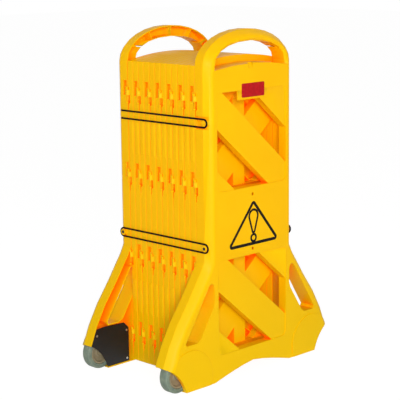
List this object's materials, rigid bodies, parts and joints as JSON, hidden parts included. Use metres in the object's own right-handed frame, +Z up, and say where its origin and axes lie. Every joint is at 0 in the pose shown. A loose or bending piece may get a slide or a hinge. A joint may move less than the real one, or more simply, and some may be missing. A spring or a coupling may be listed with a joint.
{
  "type": "mobile barrier",
  "caption": "Folding crowd barrier of latticed plastic panels hinged in a zigzag between two handled end panels with flared feet, wheels and elastic cords, folded for storage.",
  "frame": {"origin": "middle of the folded barrier's footprint, on the floor", "axes": "+Z up, X across the panels' width, Y along the folded stack with the front end panel at -Y"},
  "size_m": [0.6986, 0.3944, 1.016],
  "materials": {
    "yellow_plastic": "yellow moulded polypropylene with a fine texture",
    "black_plastic": "black moulded plastic",
    "zinc_steel": "zinc plated steel",
    "black_steel": "blackened steel",
    "black_elastic": "braided cover over rubber",
    "grey_rubber": "grey-green solid rubber",
    "beige_nylon": "beige moulded nylon"
  },
  "bodies": {
    "rear_end": {"rear_end_panel": "yellow_plastic", "wheel_cover_rear": "black_plastic", "cover_screw_rear_1": "zinc_steel", "cover_screw_rear_2": "zinc_steel", "cover_screw_rear_3": "zinc_steel", "axle_rear": "zinc_steel", "cord_screw_rear_left": "black_steel", "cord_screw_rear_right": "black_steel", "cord_upper_left": "black_elastic", "cord_lower_right": "black_elastic"},
    "panel_01_body": {"panel_01": "yellow_plastic"},
    "panel_02_body": {"panel_02": "yellow_plastic"},
    "panel_03_body": {"panel_03": "yellow_plastic"},
    "panel_04_body": {"panel_04": "yellow_plastic"},
    "panel_05_body": {"panel_05": "yellow_plastic"},
    "panel_06_body": {"panel_06": "yellow_plastic"},
    "panel_07_body": {"panel_07": "yellow_plastic"},
    "panel_08_body": {"panel_08": "yellow_plastic"},
    "panel_09_body": {"panel_09": "yellow_plastic"},
    "panel_10_body": {"panel_10": "yellow_plastic"},
    "panel_11_body": {"panel_11": "yellow_plastic"},
    "panel_12_body": {"panel_12": "yellow_plastic"},
    "front_end": {"front_end_panel": "yellow_plastic", "wheel_cover_front": "black_plastic", "cover_screw_front_1": "zinc_steel", "cover_screw_front_2": "zinc_steel", "cover_screw_front_3": "zinc_steel", "axle_front": "zinc_steel", "cord_screw_front_left": "black_steel", "cord_screw_front_right": "black_steel", "cord_upper_right": "black_elastic", "cord_lower_left": "black_elastic"},
    "wheel_rear": {"tyre_rear": "grey_rubber", "hub_rear": "beige_nylon"},
    "wheel_front": {"tyre_front": "grey_rubber", "hub_front": "beige_nylon"}
  },
  "joints": [
    {"name": "hinge_01", "type": "hinge", "parent": "rear_end", "child": "panel_01_body", "pos_m": [-0.1818, 0.1404, 0.5], "axis": [0, 0, -1], "range_deg": [0, 90], "deforming": ["cord_upper_left", "cord_lower_left", "cord_upper_right", "cord_lower_right"]},
    {"name": "hinge_02", "type": "hinge", "parent": "panel_01_body", "child": "panel_02_body", "pos_m": [0.1818, 0.117, 0.5], "axis": [0, 0, 1], "range_deg": [0, 180]},
    {"name": "hinge_03", "type": "hinge", "parent": "panel_02_body", "child": "panel_03_body", "pos_m": [-0.1818, 0.0936, 0.5], "axis": [0, 0, -1], "range_deg": [0, 180]},
    {"name": "hinge_04", "type": "hinge", "parent": "panel_03_body", "child": "panel_04_body", "pos_m": [0.1818, 0.0702, 0.5], "axis": [0, 0, 1], "range_deg": [0, 180]},
    {"name": "hinge_05", "type": "hinge", "parent": "panel_04_body", "child": "panel_05_body", "pos_m": [-0.1818, 0.0468, 0.5], "axis": [0, 0, -1], "range_deg": [0, 180]},
    {"name": "hinge_06", "type": "hinge", "parent": "panel_05_body", "child": "panel_06_body", "pos_m": [0.1818, 0.0234, 0.5], "axis": [0, 0, 1], "range_deg": [0, 180]},
    {"name": "hinge_07", "type": "hinge", "parent": "panel_06_body", "child": "panel_07_body", "pos_m": [-0.1818, 0, 0.5], "axis": [0, 0, -1], "range_deg": [0, 180]},
    {"name": "hinge_08", "type": "hinge", "parent": "panel_07_body", "child": "panel_08_body", "pos_m": [0.1818, -0.0234, 0.5], "axis": [0, 0, 1], "range_deg": [0, 180]},
    {"name": "hinge_09", "type": "hinge", "parent": "panel_08_body", "child": "panel_09_body", "pos_m": [-0.1818, -0.0468, 0.5], "axis": [0, 0, -1], "range_deg": [0, 180]},
    {"name": "hinge_10", "type": "hinge", "parent": "panel_09_body", "child": "panel_10_body", "pos_m": [0.1818, -0.0702, 0.5], "axis": [0, 0, 1], "range_deg": [0, 180]},
    {"name": "hinge_11", "type": "hinge", "parent": "panel_10_body", "child": "panel_11_body", "pos_m": [-0.1818, -0.0936, 0.5], "axis": [0, 0, -1], "range_deg": [0, 180]},
    {"name": "hinge_12", "type": "hinge", "parent": "panel_11_body", "child": "panel_12_body", "pos_m": [0.1818, -0.117, 0.5], "axis": [0, 0, 1], "range_deg": [0, 180]},
    {"name": "hinge_13", "type": "hinge", "parent": "panel_12_body", "child": "front_end", "pos_m": [-0.1818, -0.1404, 0.5], "axis": [0, 0, -1], "range_deg": [0, 90]},
    {"name": "wheel_rear_spin", "type": "hinge", "parent": "rear_end", "child": "wheel_rear", "pos_m": [-0.297, 0.168, 0.0514], "axis": [0, 1, 0], "continuous": true},
    {"name": "wheel_front_spin", "type": "hinge", "parent": "front_end", "child": "wheel_front", "pos_m": [-0.297, -0.168, 0.0514], "axis": [0, 1, 0], "continuous": true}
  ],
  "couplings": [
    {"joint": "hinge_02", "follows": "hinge_01", "ratio": 2},
    {"joint": "hinge_03", "follows": "hinge_01", "ratio": 2},
    {"joint": "hinge_04", "follows": "hinge_01", "ratio": 2},
    {"joint": "hinge_05", "follows": "hinge_01", "ratio": 2},
    {"joint": "hinge_06", "follows": "hinge_01", "ratio": 2},
    {"joint": "hinge_07", "follows": "hinge_01", "ratio": 2},
    {"joint": "hinge_08", "follows": "hinge_01", "ratio": 2},
    {"joint": "hinge_09", "follows": "hinge_01", "ratio": 2},
    {"joint": "hinge_10", "follows": "hinge_01", "ratio": 2},
    {"joint": "hinge_11", "follows": "hinge_01", "ratio": 2},
    {"joint": "hinge_12", "follows": "hinge_01", "ratio": 2},
    {"joint": "hinge_13", "follows": "hinge_01", "ratio": 1}
  ]
}
